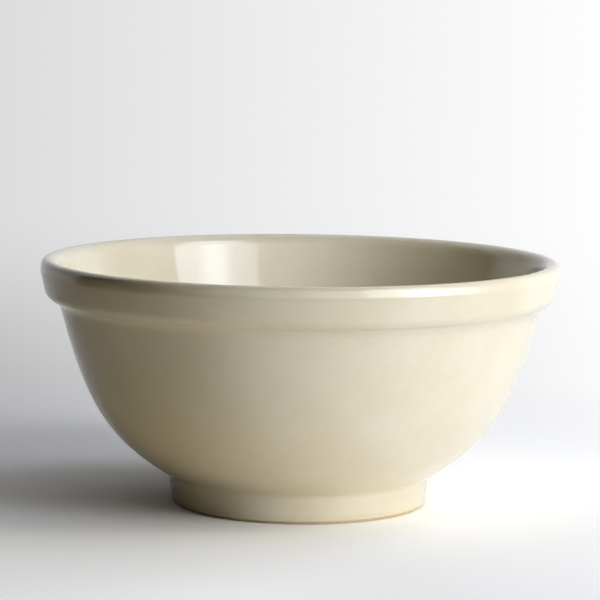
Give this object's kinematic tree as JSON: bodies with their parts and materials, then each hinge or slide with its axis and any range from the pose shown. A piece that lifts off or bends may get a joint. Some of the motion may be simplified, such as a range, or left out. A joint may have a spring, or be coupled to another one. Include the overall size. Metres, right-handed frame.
{
  "type": "salad bowl",
  "caption": "Round stoneware salad bowl with a collared lip, curved wall and bare foot ring, cream-glazed inside and out, for serving, tossing or mixing food.",
  "frame": {"origin": "centre of the foot ring's resting face, on the bowl's axis", "axes": "+Z along the bowl's axis, up out of its mouth; the bowl is a body of revolution, so X and Y are free"},
  "size_m": [0.25, 0.25, 0.1182],
  "materials": {
    "bare_stoneware": "dry buff stoneware, fired and wiped clean of glaze",
    "cream_glaze": "glossy warm cream glaze with a few fine specks"
  },
  "bodies": {
    "root": {"stoneware_body": "bare_stoneware", "glaze_coat": "cream_glaze", "foot_well_glaze": "cream_glaze"}
  },
  "joints": []
}
